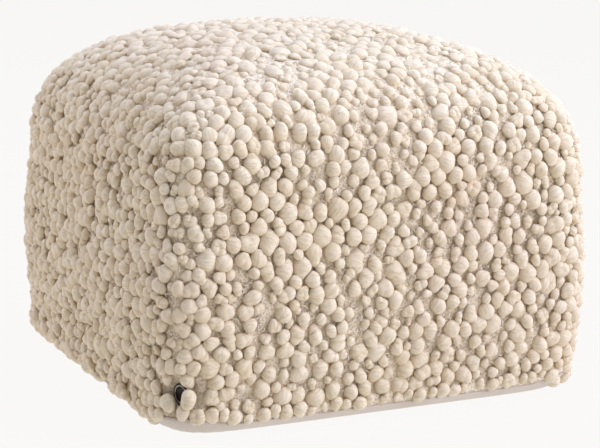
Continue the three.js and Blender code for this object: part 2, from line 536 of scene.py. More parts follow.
@dataclass(frozen=True)
class PlainCanvas:
    """Smooth pale cotton canvas in plain weave."""

    pale: Colour = linear(224, 213, 203)
    deep: Colour = linear(198, 184, 171)
    thread: float = 0.8 * MM
    slub_squeeze: float = 0.15
    slub_scale: float = 900.0
    soil_scale: float = 22.0
    weave_share: float = 0.25
    slub_share: float = 0.45
    soil_share: float = 0.5
    shade_zone: tuple[float, float] = (0.25, 0.95)
    weave_height: float = 0.7
    slub_height: float = 0.3
    thread_relief: float = 0.12 * MM

    def material(self, name: str) -> bpy.types.Material:
        """Makes the canvas.

        Args:
            name: The material's name.

        Returns:
            The material.
        """
        graph = Graph(name)
        cloth = graph.attribute("cloth", "Vector")
        turns = 2 * math.pi / self.thread
        weft, warp = (graph.add("ShaderNodeSeparateXYZ", {}, {0: cloth}, axis) * turns for axis in "XY")
        weave = weft.sine() * warp.sine() * 0.5 + 0.5
        slub = graph.noise(graph.scaled(cloth, (1, self.slub_squeeze, 1)), self.slub_scale, detail=2.0)
        soil = graph.noise(cloth, self.soil_scale, detail=3.0)
        shade = weave * self.weave_share + slub * self.slub_share + soil * self.soil_share
        body = graph.mix(shade.between(*self.shade_zone), self.deep, self.pale)
        height = weave * self.weave_height + slub * self.slub_height
        return graph.surface(
            {
                "Base Color": body,
                "Roughness": 0.9,
                "Specular IOR Level": 0.2,
                "Sheen Weight": 0.15,
                "Normal": graph.relief(height, self.thread_relief, strength=0.6),
            }
        )


@dataclass(frozen=True)
class BadgeLacquer:
    """Black lacquer on a small pressed disc, with a pale ring let into it."""

    black: Colour = linear(26, 23, 24)
    worn: Colour = linear(52, 46, 44)
    ring: Colour = linear(232, 228, 224)
    grain_scale: float = 2600.0
    wear_zone: tuple[float, float] = (0.45, 0.8)
    wear_tint: float = 0.5
    least_roughness: float = 0.32
    grain_roughness: float = 0.2
    ring_metal: float = 0.6
    grain_relief: float = 0.05 * MM

    def material(self, name: str) -> bpy.types.Material:
        """Makes the lacquer.

        Args:
            name: The material's name.

        Returns:
            The material.
        """
        graph = Graph(name)
        place = graph.place()
        grain = graph.noise(place, self.grain_scale, detail=2.0)
        ring = graph.attribute("ring")
        wear = grain.between(*self.wear_zone) * self.wear_tint
        body = graph.mix(wear, self.black, self.worn)
        body = graph.mix(ring, body, self.ring)
        return graph.surface(
            {
                "Base Color": body,
                "Roughness": grain * self.grain_roughness + self.least_roughness,
                "Metallic": ring * self.ring_metal,
                "Specular IOR Level": 0.5,
                "Normal": graph.relief(grain, self.grain_relief, strength=0.4),
            }
        )


@dataclass(frozen=True)
class StudioSweep:
    """The pale studio floor, which takes only a faint shadow because most of its tone is its own glow."""

    tone: Colour = linear(249, 248, 246)
    paint: Colour = linear(34, 34, 33)
    fleck: Colour = linear(38, 37, 36)
    grain_scale: float = 3.0
    grain_tint: float = 0.02
    glow: float = 0.988

    def material(self, name: str) -> bpy.types.Material:
        """Makes the floor.

        Args:
            name: The material's name.

        Returns:
            The material.
        """
        graph = Graph(name)
        grain = graph.noise(graph.place(), self.grain_scale, detail=1.0)
        return graph.surface(
            {
                "Base Color": graph.mix(grain * self.grain_tint, self.paint, self.fleck),
                "Roughness": 1.0,
                "Specular IOR Level": 0.0,
                "Emission Color": self.tone,
                "Emission Strength": self.glow,
            }
        )


def made_piece(
    name: str,
    points: Array,
    face_sets: Sequence[Array],
    values: Mapping[str, Array],
    material: bpy.types.Material,
) -> bpy.types.Object:
    """Makes one smooth mesh object.

    Args:
        name: The piece's name.
        points: Its vertices, one row each.
        face_sets: Arrays of faces, one row each, all faces of an array with the same corner count.
        values: A number or a vector on each vertex, by attribute name.
        material: Its material.

    Returns:
        The object, linked to the scene.
    """
    mesh = bpy.data.meshes.new(name)
    sizes = np.concatenate([np.full(len(faces), faces.shape[1]) for faces in face_sets])
    loops = np.concatenate([faces.ravel() for faces in face_sets])
    starts = np.concatenate([[0], np.cumsum(sizes)[:-1]])
    mesh.vertices.add(len(points))
    mesh.vertices.foreach_set("co", points.astype(np.float32).ravel())
    mesh.loops.add(len(loops))
    mesh.loops.foreach_set("vertex_index", loops.astype(np.int32))
    mesh.polygons.add(len(sizes))
    mesh.polygons.foreach_set("loop_start", starts.astype(np.int32))
    mesh.polygons.foreach_set("use_smooth", np.ones(len(sizes), bool))
    mesh.update(calc_edges=True)
    for key, numbers in values.items():
        kind, slot = ("FLOAT_VECTOR", "vector") if numbers.ndim == 2 else ("FLOAT", "value")
        data = mesh.attributes.new(key, kind, "POINT").data
        data.foreach_set(slot, numbers.astype(np.float32).ravel())
    mesh.materials.append(material)
    piece = bpy.data.objects.new(name, mesh)
    bpy.context.scene.collection.objects.link(piece)
    log.info("%s: %d triangles", name, int((sizes - 2).sum()))
    return piece


@dataclass(frozen=True)
class Form:
    """The pouf over the tips of its bobbles: a squarish plan, swelled sides and a domed top."""

    half: float = 245 * MM
    height: float = 383 * MM
    crown_rise: float = 157 * MM
    crown_power: float = 2.69
    middle_power: float = 2.33
    edge_power: float = 10.3
    swell: float = 6 * MM
    foot_radius: float = 31 * MM
    waver: float = 1.6 * MM
    waver_lengths: tuple[float, float, float] = (0.047, 0.053, 0.041)
    waver_phases: tuple[float, float] = (1.3, 0.4)
    edge_angle: float = math.radians(55)
    rim_angle: float = math.radians(57)
    corner_rim: float = math.radians(18)
    rim_corner: tuple[float, float] = (0.68, 0.95)
    rim_zone: tuple[float, float] = (15 * MM, 2 * MM)
    top_rows: int = 18
    side_rows: int = 23
    section_steps: int = 241
    halvings: int = 30

    @cached_property
    def _section(self) -> dict[str, Array]:
        """The section from the crown to under the foot.

        Returns:
            The run from the crown, the reach from the middle, the height and the plan's power, at the
            same points of the section.
        """
        share = np.linspace(0, 1, self.section_steps)
        angle = (1 - share) * math.pi / 2
        radius = np.maximum(np.cos(angle), 0) ** (2 / self.crown_power)
        side_top = self.height - self.crown_rise
        rise = 1 - share[1:]
        foot = rise * math.pi / 2
        reach = np.concatenate(
            [
                self.half * radius,
                self.half + self.swell * np.sin(math.pi * rise),
                self.half - self.foot_radius * (1 - np.sin(foot)),
            ]
        )
        z = np.concatenate(
            [
                side_top + self.crown_rise * np.sin(angle) ** (2 / self.crown_power),
                self.foot_radius + (side_top - self.foot_radius) * rise,
                self.foot_radius * (1 - np.cos(foot)),
            ]
        )
        power = np.concatenate([self._power(radius), np.full(2 * len(rise), self.edge_power)])
        run = np.concatenate([[0], np.cumsum(np.hypot(np.diff(reach), np.diff(z)))])
        return {"run": run, "reach": reach, "z": z, "power": power}

    def _power(self, share: Array) -> Array:
        """How square the plan of the dome is at a share of its radius."""
        return self.middle_power + (self.edge_power - self.middle_power) * share**3

    @property
    def edge_run(self) -> float:
        """The distance from the crown, along the surface, to the cover's lower edge."""
        return self._section["run"][-1] - self.foot_radius * self.edge_angle

    @property
    def row(self) -> float:
        """The distance between two rows of bobbles."""
        return self.edge_run / (self.top_rows + self.side_rows)

    @property
    def top_run(self) -> float:
        """The distance from the crown to where the sides' rows begin."""
        return self.row * self.top_rows

    def rim(self, x: Array, y: Array) -> Array:
        """How far up the round of the foot the base cloth reaches, most at the corners.

        Args:
            x: Across, on any scale.
            y: To the back, on the same scale.

        Returns:
            The angles from straight below.
        """
        return self.rim_angle + self.corner_rim * eased(to_corner(x, y), *self.rim_corner)

    def rim_run(self, x: Array, y: Array) -> Array:
        """The distance from the crown to the base cloth's edge."""
        return self._section["run"][-1] - self.foot_radius * self.rim(x, y)

    def near_rim(self, run: Array, rim: Array) -> Array:
        """How near places are to the base cloth's edge, 0 to 1."""
        start, end = self.rim_zone
        return eased(run, rim - start, rim - end)

    def at(self, key: str, run: Array) -> Array:
        """One measure of the section at a distance from the crown."""
        return np.interp(run, self._section["run"], self._section[key])

    def dome_height(self, x: Array, y: Array) -> Array:
        """Finds the height of the dome over points of the plan, by halving.

        Args:
            x: Across, in metres.
            y: To the back, in metres.

        Returns:
            The heights.
        """
        inner = np.zeros_like(x)
        outer = np.ones_like(x)
        for _ in range(self.halvings):
            middle = (inner + outer) / 2
            beyond = plan_length(x, y, self._power(middle)) > self.half * middle
            inner = np.where(beyond, middle, inner)
            outer = np.where(beyond, outer, middle)
        lift = np.maximum(1 - inner**self.crown_power, 0) ** (1 / self.crown_power)
        return self.height - self.crown_rise + self.crown_rise * lift

    def surface(self, across: Array, back: Array, run: Array) -> Array:
        """Points over the bobbles' tips.

        Args:
            across: The direction across, on the square of the plan.
            back: The direction to the back, on the same square.
            run: The distance from the crown along the surface.

        Returns:
            The points, one row each.
        """
        side = np.maximum(np.maximum(np.abs(across), np.abs(back)), TINY)
        dx, dy = across / side, back / side
        on_top = run <= self.top_run + TINY
        power = np.where(on_top, self.edge_power, self.at("power", run))
        length = np.maximum(plan_length(dx, dy, power), TINY)
        reach = self.at("reach", run)
        x, y = dx / length * reach, dy / length * reach
        # The dome ends upright at its edge, where its height can't be read
        limit = self.half * 0.999
        z = np.where(on_top, self.dome_height(np.clip(x, -limit, limit), y), self.at("z", run))
        return np.stack([x, y, z], -1)

    def slack(self, points: Array) -> Array:
        """Measures how far the slow unevenness of the filling draws the surface in.

        Args:
            points: Points of the surface.

        Returns:
            The depths. They are 0 at the foot.
        """
        x, y, z = points[:, 0], points[:, 1], points[:, 2]
        lift = eased(z, 2 * self.foot_radius, 4 * self.foot_radius)
        across, back, up = self.waver_lengths
        first, second = self.waver_phases
        wave = np.sin(x / across + first) + np.sin(y / back + second) + np.sin(z / up)
        return lift * self.waver * (1 - wave / 3) * 0.5


@dataclass
class Shell:
    """A closed skin over the form: a grid over the top, rings down the sides, and a flat foot."""

    form: Form
    cells: int
    rings: int
    foot_steps: int = 6
    foot_depth: float = 2.6 * MM
    rim_depth: float = 0.8 * MM
    under_angles: tuple[float, float] = (0.7, 0.26)
    foot_run: float = 5 * MM
    middle_run: float = 250 * MM

    def __post_init__(self) -> None:
        """Lays out the skin's points and faces over the bobbles' tips."""
        self.points, self.runs = self._laid_points()
        self.quads, self.fan = self._laid_faces()

    def _edge(self) -> tuple[Array, Array]:
        """Walks the grid's border, anticlockwise from the front left corner.

        Returns:
            Whole steps across and to the back.
        """
        n = self.cells
        along = np.arange(-n, n)
        full = np.full(2 * n, n)
        across = np.concatenate([along, full, -along, -full])
        back = np.concatenate([-full, along, full, -along])
        return across, back

    def _laid_points(self) -> tuple[Array, Array]:
        """Places the top's grid, the side rings, the foot rings and the middle of the foot.

        Returns:
            The points, and each one's distance from the crown.
        """
        n, form = self.cells, self.form
        i, j = np.meshgrid(np.arange(-n, n + 1), np.arange(-n, n + 1), indexing="ij")
        i, j = i.ravel() / n, j.ravel() / n
        runs = [np.maximum(np.abs(i), np.abs(j)) * form.top_run]
        points = [form.surface(i, j, runs[0])]
        across, back = self._edge()
        last = form.edge_run
        for ring in range(1, self.rings + 1):
            run = np.full(len(across), form.top_run + (last - form.top_run) * ring / self.rings)
            points.append(form.surface(across / n, back / n, run))
            runs.append(run)
        for step in range(1, self.foot_steps + 1):
            angle = form.edge_angle * (1 - step / self.foot_steps)
            under = float(eased(np.array(angle), *self.under_angles))
            radius = form.foot_radius - self.rim_depth * (1 - under) - self.foot_depth * under
            reach = form.half - form.foot_radius + radius * math.sin(angle)
            length = plan_length(across / n, back / n, form.edge_power)
            z = np.full(len(across), form.foot_radius - radius * math.cos(angle))
            points.append(np.stack([across / n / length * reach, back / n / length * reach, z], -1))
            runs.append(np.full(len(across), last + step * self.foot_run))
        points.append(np.array([[0.0, 0.0, self.foot_depth]]))
        runs.append(np.array([last + self.middle_run]))
        return np.concatenate(points), np.concatenate(runs)

    def _laid_faces(self) -> tuple[Array, Array]:
        """Joins the points in squares, and the foot in triangles.

        Returns:
            The squares and the triangles.
        """
        n = self.cells
        side = 2 * n + 1
        i, j = np.meshgrid(np.arange(2 * n), np.arange(2 * n), indexing="ij")
        corner = (i * side + j).ravel()
        quads = [np.stack([corner, corner + side, corner + side + 1, corner + 1], -1)]
        across, back = self._edge()
        upper = (across + n) * side + back + n
        count = len(across)
        start = side * side
        for _ in range(self.rings + self.foot_steps):
            lower = start + np.arange(count)
            quads.append(np.stack([upper, lower, np.roll(lower, -1), np.roll(upper, -1)], -1))
            upper, start = lower, start + count
        fan = np.stack([np.roll(upper, -1), upper, np.full(count, start)], -1)
        return np.concatenate(quads), fan

    @cached_property
    def normals(self) -> Array:
        """The outward direction at each point.

        Returns:
            Unit directions, one row each.
        """
        a, b, c, d = (self.points[self.quads[:, k]] for k in range(4))
        facing = np.cross(c - a, d - b)
        total = np.zeros_like(self.points)
        for k in range(4):
            np.add.at(total, self.quads[:, k], facing)
        total[-1] = (0, 0, -1)
        return unit(total)

    def tree(self) -> BVHTree:
        """A search tree over the squares."""
        return BVHTree.FromPolygons(self.points.tolist(), self.quads.tolist())


class Panel(Enum):
    """The faces of the cover, each with the direction of its middle on the plan."""

    TOP = (0, 0)
    FRONT = (0, -1)
    RIGHT = (1, 0)
    BACK = (0, 1)
    LEFT = (-1, 0)

    @property
    def number(self) -> int:
        """Its place in the order of the panels, 0 for the top."""
        return list(Panel).index(self)


@dataclass
class Places:
    """Where bobbles stand, one row a bobble.

    Attributes:
        point: The point of the surface over its tip.
        outward: The way it faces.
        weft: The weft's direction there.
        radius: Its radius.
        panel: The number of its panel.
        lift: How far it is drawn out of the ground.
        plain: Whether it has to be egg-shaped.
    """

    point: Array
    outward: Array
    weft: Array
    radius: Array
    panel: Array
    lift: Array
    plain: Array

    def only(self, chosen: Array) -> "Places":
        """Keeps the chosen bobbles."""
        return Places(*(getattr(self, part.name)[chosen] for part in fields(self)))


@dataclass
class BobbleWeave:
    """The weave: staggered rows of bobbles over the top and the four sides, parted by the seams.

    A hem drop is how far past the base cloth's edge the last row hangs. It is negative where the row
    stays above that edge.
    """

    form: Form
    pitch: float = 17.9 * MM
    stray: float = 3.1 * MM
    run_stray_share: float = 0.6
    side_reach: float = 0.965
    top_margin_share: float = 0.3
    seam_margin: float = 3.5 * MM
    hem_clearance: float = 6 * MM
    hem_pitch: float = 12.8 * MM
    hem_lift: float = 4.5 * MM
    least_hem_lift: float = 0.6
    hem_drop: float = 2.5 * MM
    front_hem_drop: float = -8 * MM
    badge_hem_drop: float = -5 * MM
    corner_hem_drop: float = 10 * MM
    hem_corner: tuple[float, float] = (0.76, 0.92)
    hem_radius: float = 8.2 * MM
    hem_size: float = 0.9
    coarse_radius: float = 8.7 * MM
    fine_radius: float = 5.5 * MM
    coarse_share: float = 0.53
    coarse_drift: float = 0.09
    drift_ways: tuple[tuple[float, float, float], ...] = ((31.0, 17.0, -23.0), (-19.0, 37.0, 29.0))
    drift_phases: tuple[float, ...] = (1.0, 4.0)
    radius_spread: float = 0.14
    smallest: float = 3.8 * MM
    largest: float = 12.4 * MM
    closeness: float = 0.92
    homing: float = 0.05
    search_reach: float = 2.4
    rounds: int = 30
    seed: int = 11

    def places(self) -> Places:
        """Lays the rows and lets the bobbles settle against one another.

        Returns:
            The settled places.
        """
        rng = np.random.default_rng(self.seed)
        laid = [self._top_rows(), *(self._side_rows(p) for p in Panel if p is not Panel.TOP)]
        across, back, run, hem = (np.concatenate(parts) for parts in zip(*laid))
        panel = np.concatenate([np.full(len(part[0]), k) for k, part in enumerate(laid)])
        across = across + rng.normal(0, self.stray, len(across)) / self.form.half
        back = back + rng.normal(0, self.stray, len(back)) / self.form.half
        run = run + rng.normal(0, self.stray * self.run_stray_share, len(run))
        run = np.where(panel == Panel.TOP.number, np.minimum(run, self.form.top_run), run)
        rim = self.form.rim_run(across, back)
        hem_run = rim + self._hem_drops(across, back, panel)
        hem_stray = rng.normal(0, self.stray * self.run_stray_share, len(run))
        run = np.where(hem > 0, hem_run + hem_stray, run)
        kept = (hem > 0) | (run < hem_run - self.hem_clearance)
        rows = (across, back, run, rim, hem, panel)
        across, back, run, rim, hem, panel = (row[kept] for row in rows)
        point = self.form.surface(across, back, run)
        radius = self._radii(point, rng)
        radius = np.where(hem > 0, np.minimum(radius * self.hem_size, self.hem_radius), radius)
        point, outward = self._settled(point, radius)
        weft = self._weft(outward, panel)
        lift = self.hem_lift * np.maximum(self.form.near_rim(run, rim), self.least_hem_lift * hem)
        return Places(point, outward, weft, radius, panel, lift, np.zeros(len(point), bool))

    def _hem_drops(self, across: Array, back: Array, panel: Array) -> Array:
        """Finds how far past the base cloth's edge the last row hangs.

        It hangs furthest round the right-hand corners. At the badge it stays up, so the cloth shows.

        Args:
            across: Directions across.
            back: Directions to the back.
            panel: Each bobble's panel.

        Returns:
            The distances.
        """
        by_left = np.where(back < 0, self.badge_hem_drop, self.hem_drop)
        corner_drop = np.where(across < 0, by_left, self.corner_hem_drop)
        drop = np.where(panel == Panel.FRONT.number, self.front_hem_drop, self.hem_drop)
        return drop + (corner_drop - drop) * eased(to_corner(across, back), *self.hem_corner)

    def _top_rows(self) -> tuple[Array, Array, Array, Array]:
        """Lays the staggered rows of the top, parallel to the front.

        Returns:
            Directions across and back, distances from the crown, and a hem share of 0.
        """
        form = self.form
        u, v = [], []
        for k in range(-form.top_rows, form.top_rows):
            shift = 0.5 * (k % 2)
            most = int(form.top_run / self.pitch) + 1
            for j in range(-most, most + 1):
                x = (j + shift) * self.pitch
                if abs(x) < form.top_run - self.pitch * self.top_margin_share:
                    u.append(x)
                    v.append((k + 0.5) * form.row)
        u, v = np.array(u), np.array(v)
        run = np.maximum(np.abs(u), np.abs(v))
        return u / run, v / run, run, np.zeros_like(run)

    def _side_rows(self, panel: Panel) -> tuple[Array, Array, Array, Array]:
        """Lays the staggered rows of one side, and a closer last row along its hem.

        Args:
            panel: The side.

        Returns:
            Directions across and back, distances from the crown, and 1 for those of the hem.
        """
        form = self.form
        dx, dy = panel.value
        laid = []
        for k in range(form.side_rows + 1):
            run = form.top_run + (k + 0.5) * form.row
            hem = float(k == form.side_rows)
            pitch = self.hem_pitch if hem else self.pitch
            half_row = float(form.at("reach", run)) * self.side_reach
            most = int(half_row / pitch) + 1
            for j in range(-most, most + 1):
                x = (j + 0.5 * (k % 2)) * pitch
                if abs(x) < half_row - self.seam_margin:
                    along = x / half_row
                    laid.append((dx - dy * along, dy + dx * along, run, hem))
        across, back, runs, hems = np.array(laid).T
        return across, back, runs, hems

    def _radii(self, point: Array, rng: np.random.Generator) -> Array:
        """Draws the bobbles' sizes, coarse or fine, with slow drifts between finer and coarser yarn.

        Args:
            point: Where they stand.
            rng: The source of chance.

        Returns:
            Their radii.
        """
        drifts = zip(self.drift_ways, self.drift_phases)
        drift = sum(np.sin(point @ np.array(way) + phase) for way, phase in drifts)
        coarse = rng.random(len(point)) < self.coarse_share + self.coarse_drift * drift
        usual = np.where(coarse, self.coarse_radius, self.fine_radius)
        drawn = usual * np.exp(rng.normal(0, self.radius_spread, len(point)))
        return np.clip(drawn, self.smallest, self.largest)

    def _settled(self, point: Array, radius: Array) -> tuple[Array, Array]:
        """Pushes crowded bobbles apart over the surface.

        Args:
            point: Where they start.
            radius: Their radii.

        Returns:
            The settled points, and the directions there, all turned to the outside.
        """
        tree = Shell(self.form, cells=60, rings=80).tree()
        near = search_tree(point)
        reach = self.search_reach * self.largest
        pairs = []
        for n, place in enumerate(point):
            pairs += [(n, m) for _, m, _ in near.find_range(place, reach) if m > n]
        first, second = np.array(pairs).T
        share = radius[second] ** 2 / (radius[first] ** 2 + radius[second] ** 2)
        wanted = self.closeness * (radius[first] + radius[second])
        home, outward = point.copy(), np.zeros_like(point)
        for _ in range(self.rounds):
            apart = point[second] - point[first]
            distance = np.linalg.norm(apart, axis=1)
            push = np.maximum(wanted - distance, 0)[:, None] * unit(apart) * 0.5
            moved = self.homing * (home - point)
            np.add.at(moved, first, -push * share[:, None])
            np.add.at(moved, second, push * (1 - share)[:, None])
            point = point + moved
            found = [tree.find_nearest(place) for place in point.tolist()]
            point = np.array([tuple(hit[0]) for hit in found])
            outward = np.array([tuple(hit[1]) for hit in found])
        from_middle = point - np.array([0.0, 0.0, self.form.height / 2])
        inward = np.sum(outward * from_middle, -1, keepdims=True) < 0
        return point, unit(np.where(inward, -outward, outward))

    @staticmethod
    def _weft(outward: Array, panel: Array) -> Array:
        """The weft's direction at each bobble: across on the top, level round the sides.

        Args:
            outward: Outward directions.
            panel: Each bobble's panel.

        Returns:
            Unit directions on the surface.
        """
        level = np.cross(np.array([0.0, 0.0, 1.0]), outward)
        across = np.broadcast_to(np.array([1.0, 0.0, 0.0]), outward.shape)
        flat = across - outward * np.sum(across * outward, -1, keepdims=True)
        return unit(np.where((panel == Panel.TOP.number)[:, None], flat, level))


class Knop(Enum):
    """The shapes that the thick and thin wool takes as it loops."""

    ROUND = "round"
    EGG = "egg"
    HEART = "heart"
    SNOWMAN = "snowman"
    FOLDED = "folded"
    CURLED = "curled"


@dataclass(frozen=True)
class Lobe:
    """One lobe of a bobble, in shares of its radius: where it lies, how that strays, and its size."""

    weft: float
    column: float
    outward: float
    stray: float
    size: float
    size_stray: float = 0.05


SHARES: dict[Knop, float] = {
    Knop.ROUND: 0.36,
    Knop.EGG: 0.2,
    Knop.HEART: 0.11,
    Knop.SNOWMAN: 0.14,
    Knop.FOLDED: 0.13,
    Knop.CURLED: 0.06,
}

LOBES: dict[Knop, tuple[Lobe, ...]] = {
    Knop.ROUND: (
        Lobe(0.0, 0.0, 0.0, 0.03, 0.95),
        Lobe(0.27, 0.16, 0.0, 0.1, 0.78),
        Lobe(-0.27, 0.16, 0.0, 0.1, 0.78),
        Lobe(0.0, -0.3, 0.0, 0.1, 0.78),
    ),
    Knop.EGG: (
        Lobe(0.0, 0.2, 0.0, 0.05, 0.92),
        Lobe(0.0, -0.4, 0.0, 0.09, 0.66),
        Lobe(0.1, 0.28, 0.05, 0.14, 0.76),
        Lobe(-0.05, -0.15, 0.0, 0.08, 0.76),
    ),
    Knop.HEART: (
        Lobe(0.36, 0.16, 0.0, 0.06, 0.7),
        Lobe(-0.36, 0.16, 0.0, 0.06, 0.7),
        Lobe(0.0, -0.32, -0.05, 0.08, 0.68),
        Lobe(0.0, -0.05, -0.1, 0.04, 0.72),
    ),
    Knop.SNOWMAN: (
        Lobe(-0.06, 0.36, 0.0, 0.07, 0.78),
        Lobe(0.12, -0.44, -0.03, 0.07, 0.56),
        Lobe(0.1, 0.3, 0.05, 0.12, 0.66),
        Lobe(0.0, -0.36, -0.05, 0.08, 0.5),
    ),
    Knop.FOLDED: (
        Lobe(0.38, 0.05, 0.0, 0.06, 0.68),
        Lobe(-0.36, -0.05, 0.0, 0.06, 0.7),
        Lobe(0.25, 0.25, -0.05, 0.1, 0.6),
        Lobe(-0.25, -0.25, -0.05, 0.1, 0.62),
    ),
    Knop.CURLED: (
        Lobe(0.44, 0.1, -0.02, 0.05, 0.58),
        Lobe(-0.1, 0.46, 0.0, 0.05, 0.6),
        Lobe(-0.44, -0.12, 0.0, 0.05, 0.58),
        Lobe(0.14, -0.44, -0.12, 0.05, 0.58),
    ),
}


@dataclass
class Bobbles:
    """The bobbles themselves, each a closed looped blob of wool standing out of the ground.

    Shares are of a bobble's radius, angles in radians, apart from the ring angles in degrees.
    """

    places: Places
    wool: RovingWool
    ground_depth: float
    segments: int = 16
    ring_angles: tuple[int, ...] = (16, 33, 51, 70, 90, 114)
    waist_ring: int = 3
    lean: float = 0.35
    leaning_share: float = 0.3
    flipped_share: float = 0.25
    depth_stray: float = 0.5
    sharpness: float = 16.0
    fold_width: float = 0.1
    fold_strength: float = 1.7
    least_inside: float = 1e-4
    lumps: tuple[tuple[float, float], ...] = ((0.045, 2.4), (0.032, 4.6))
    plumpness: float = 1.04
    heights: tuple[float, float] = (0.86, 1.0)
    height_share: float = 1.42
    height_stray: float = 0.8 * MM
    top_facing: tuple[float, float] = (0.6, 0.95)
    top_spread: float = 0.07
    column_stretch: float = 0.05
    top_flatness: float = 0.16
    root_taper: float = 0.25
    tilt: float = 0.14
    turn: float = 0.2
    fibre_turn: float = 0.55
    fibre_pole: float = 0.35
    fibre_seeds: float = 50.0
    least_gap: float = 1.5 * MM
    neighbours: int = 8
    press_softness: float = 0.8 * MM
    press_gap: float = -1.5 * MM
    # Painted shade: the wool is darkened where bobbles touch and on the lower half of each bobble
    contact: tuple[float, float] = (-1.1 * MM, 0.7 * MM)
    contact_tint: float = 0.34
    root_zone: tuple[float, float] = (0.35, -0.35)
    seed: int = 23

    @cached_property
    def _ball(self) -> Array:
        """The unit ball: its tip, its rings and its root.

        Returns:
            Weft, column and outward shares, one point a row.
        """
        angles = np.radians(self.ring_angles)[:, None]
        turns = np.linspace(0, 2 * math.pi, self.segments, endpoint=False)[None, :]
        level = np.sin(angles)
        rings = [level * np.cos(turns), level * np.sin(turns), np.cos(angles) + 0 * turns]
        return np.concatenate([[(0, 0, 1)], np.stack(rings, -1).reshape(-1, 3), [(0, 0, -1)]])

    @cached_property
    def _faces(self) -> tuple[Array, Array]:
        """The faces of one ball, facing outward.

        Returns:
            The triangles at its tip and root, and the squares between.
        """
        n, rings = self.segments, len(self.ring_angles)
        step = np.arange(n)
        after = np.roll(step, -1)
        last = 1 + (rings - 1) * n
        tip = np.stack([np.zeros(n, int), 1 + step, 1 + after], -1)
        root = np.stack([np.full(n, last + n), last + after, last + step], -1)
        outward_turn = [0, 3, 2, 1]
        return np.concatenate([tip, root]), ring_quads(rings, n, first=1)[:, outward_turn]

    def _lobes(self, rng: np.random.Generator, count: int) -> tuple[Array, Array]:
        """Draws each bobble's kind and lays out its lobes.

        Args:
            rng: The source of chance.
            count: How many bobbles.

        Returns:
            The lobes' middles and sizes, four to a bobble.
        """
        kinds = list(Knop)
        drawn = rng.choice(len(kinds), count, p=[SHARES[kind] for kind in kinds])
        drawn = np.where(self.places.plain, kinds.index(Knop.EGG), drawn)
        table = np.array([[astuple(lobe) for lobe in LOBES[kind]] for kind in kinds])
        place, stray, usual_size, size_stray = np.split(table[drawn], [3, 4, 5], axis=-1)
        middle = place + rng.normal(size=place.shape) * stray * (1, 1, self.depth_stray)
        size = (usual_size * (1 + rng.normal(size=stray.shape) * size_stray))[..., 0]
        leaning = rng.normal(0, self.lean, count)
        any_way = rng.uniform(-math.pi, math.pi, count)
        upright = np.isin(drawn, [kinds.index(Knop.EGG), kinds.index(Knop.SNOWMAN)])
        angle = np.where(upright | (rng.random(count) < self.leaning_share), leaning, any_way)
        angle = angle + np.where(rng.random(count) < self.flipped_share, math.pi, 0)
        cos, sin = np.cos(angle)[:, None], np.sin(angle)[:, None]
        turned = [
            middle[..., 0] * cos - middle[..., 1] * sin,
            middle[..., 0] * sin + middle[..., 1] * cos,
            middle[..., 2],
        ]
        return np.stack(turned, -1), size

    def _shaped(self, rng: np.random.Generator, count: int) -> tuple[Array, Array]:
        """Forms each bobble as the smooth union of its lobes.

        Args:
            rng: The source of chance.
            count: How many bobbles.

        Returns:
            The points in shares of the radius, and how deep in a fold between lobes each lies, 0 to 1,
            which the wool darkens as painted shade.
        """
        ball = self._ball
        middle, size = self._lobes(rng, count)
        toward = np.einsum("vk,blk->blv", ball, middle)
        inside = np.maximum(size**2 - np.sum(middle**2, -1), self.least_inside)
        reach = toward + np.sqrt(toward**2 + inside[..., None])
        union = np.sum(reach**self.sharpness, 1) ** (1 / self.sharpness)
        order = np.argsort(-reach, axis=1)[:, :2]
        most, next_most = np.moveaxis(np.take_along_axis(reach, order, 1), 1, 0)
        picked = [np.take_along_axis(middle, order[:, k, :, None], 1) for k in range(2)]
        sizes = [np.take_along_axis(size, order[:, k], 1)[..., None] for k in range(2)]
        facing = [(ball * most[..., None] - m) / s for m, s in zip(picked, sizes)]
        bend = 1 - np.sum(unit(facing[0]) * unit(facing[1]), -1)
        seam = np.exp(-(((most - next_most) / self.fold_width) ** 2))
        fold = seam * np.clip(bend * self.fold_strength, 0, 1)
        for strength, fineness in self.lumps:
            way = unit(rng.normal(size=(count, 3))) * fineness
            union = union * (1 + strength * np.sin(way @ ball.T + rng.uniform(0, 6, (count, 1))))
        points = ball * union[..., None]
        first = 1 + self.waist_ring * self.segments
        waist = slice(first, first + 2 * self.segments)
        lateral = np.linalg.norm(points[:, waist, :2], axis=-1).mean(1)
        points = points / lateral[:, None, None]
        points[..., :2] -= points[:, waist, :2].mean(1)[:, None, :]
        return points, fold

    def _frames(self, rng: np.random.Generator) -> Array:
        """Sets up each bobble's weft, column and outward axes, a little turned and tilted.

        Args:
            rng: The source of chance.

        Returns:
            A 3 by 3 matrix of axes for each bobble, one axis a row.
        """
        count = len(self.places.point)
        outward = unit(self.places.outward + rng.normal(0, self.tilt, (count, 3)))
        weft = unit(self.places.weft + rng.normal(0, self.turn, (count, 3)))
        column = unit(np.cross(outward, weft))
        return np.stack([np.cross(column, outward), column, outward], 1)

    def _pressed(self, points: Array, centre: Array, radius: Array) -> tuple[Array, Array]:
        """Flattens the bobbles where they press on one another.

        Args:
            points: Their points.
            centre: Their middles.
            radius: Their radii.

        Returns:
            The points, and how nearly each touches a neighbour, 0 to 1, which the wool darkens as painted
            shade.
        """
        near = search_tree(centre)
        found = np.array([[m for _, m, _ in near.find_n(place, self.neighbours + 1)] for place in centre])
        pressed = np.zeros(points.shape[:2])
        for other in found.T[1:]:
            way = centre[other] - centre
            distance = np.linalg.norm(way, axis=1)
            way = unit(way)
            limit = distance * radius / (radius + radius[other]) - self.press_gap
            along = np.einsum("bvx,bx->bv", points - centre[:, None], way)
            beyond = (along - limit[:, None]) / self.press_softness
            over = self.press_softness * np.logaddexp(0, beyond)
            touching = eased(along - limit[:, None] - self.press_gap, *self.contact)
            points = points - over[..., None] * way[:, None]
            pressed = np.maximum(pressed, touching)
        return points, pressed

